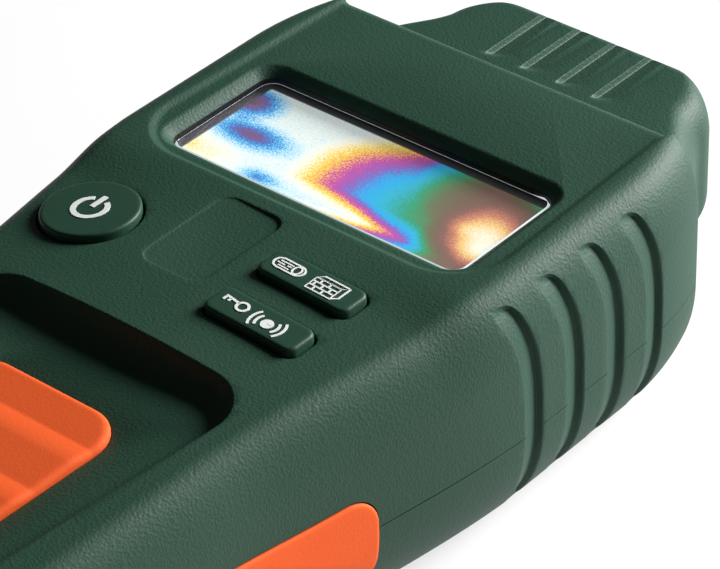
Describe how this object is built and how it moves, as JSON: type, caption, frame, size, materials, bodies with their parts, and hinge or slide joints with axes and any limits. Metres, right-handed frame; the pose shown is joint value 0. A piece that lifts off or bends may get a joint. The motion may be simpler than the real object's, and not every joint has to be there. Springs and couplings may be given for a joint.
{
  "type": "moisture meter",
  "caption": "Handheld pin moisture meter with a wide head, display window, keypad, tapered rubber-gripped handle, pull-off pin cap and sliding battery door.",
  "frame": {"origin": "middle of the flat back, halfway between the tail and the end of the cap", "axes": "+X to the right seen from the front, +Y along the meter towards the cap, +Z out of the front"},
  "size_m": [0.068, 0.19, 0.0371],
  "materials": {
    "shell": "fine moulded grain, dark green",
    "key": "smooth satin, dark green with white printed signs",
    "grip": "soft matt rubber, orange",
    "inner_black": "plain black moulding",
    "socket_brass": "turned brass",
    "pin_steel": "ground and polished",
    "screw_steel": "zinc plated",
    "lead_white": "insulated wire",
    "lens": "clear hard plastic",
    "frame_grey": "grey moulding",
    "display": "liquid crystal glass under a protective film with rainbow colours",
    "strip_rubber": "conductive rubber",
    "board": "solder resist, green",
    "battery_case": "plain dark steel can",
    "foam": "closed-cell foam"
  },
  "bodies": {
    "body": {"front_shell": "shell", "rear_shell": "shell", "nose_block": "inner_black", "buzzer": "inner_black", "key_switches": "inner_black", "board_chips": "inner_black", "battery_clip": "inner_black", "pin_sockets": "socket_brass", "electrode_pins": "pin_steel", "case_screws": "screw_steel", "board_screws": "screw_steel", "pin_leads": "lead_white", "battery_leads": "lead_white", "window_lens": "lens", "display_frame": "frame_grey", "display_glass": "display", "display_strips": "strip_rubber", "circuit_board": "board", "battery": "battery_case", "grip_pad": "grip", "left_grip": "grip", "right_grip": "grip"},
    "cap": {"cap": "shell"},
    "power_key": {"power_key": "key"},
    "material_key": {"material_key": "key"},
    "lock_key": {"lock_key": "key"},
    "battery_door": {"battery_door": "shell", "battery_pad": "foam"}
  },
  "joints": [
    {"name": "cap_pull", "type": "slide", "parent": "body", "child": "cap", "axis": [0, 1, 0], "range_m": [0, 0.03]},
    {"name": "power_key_press", "type": "slide", "parent": "body", "child": "power_key", "axis": [0, 0, -1], "range_m": [0, 0.0008], "stiffness_N_per_m": 300},
    {"name": "material_key_press", "type": "slide", "parent": "body", "child": "material_key", "axis": [0, 0, -1], "range_m": [0, 0.0008], "stiffness_N_per_m": 300},
    {"name": "lock_key_press", "type": "slide", "parent": "body", "child": "lock_key", "axis": [0, 0, -1], "range_m": [0, 0.0008], "stiffness_N_per_m": 300},
    {"name": "door_slide", "type": "slide", "parent": "body", "child": "battery_door", "axis": [0, -1, 0], "range_m": [0, 0.08]}
  ]
}
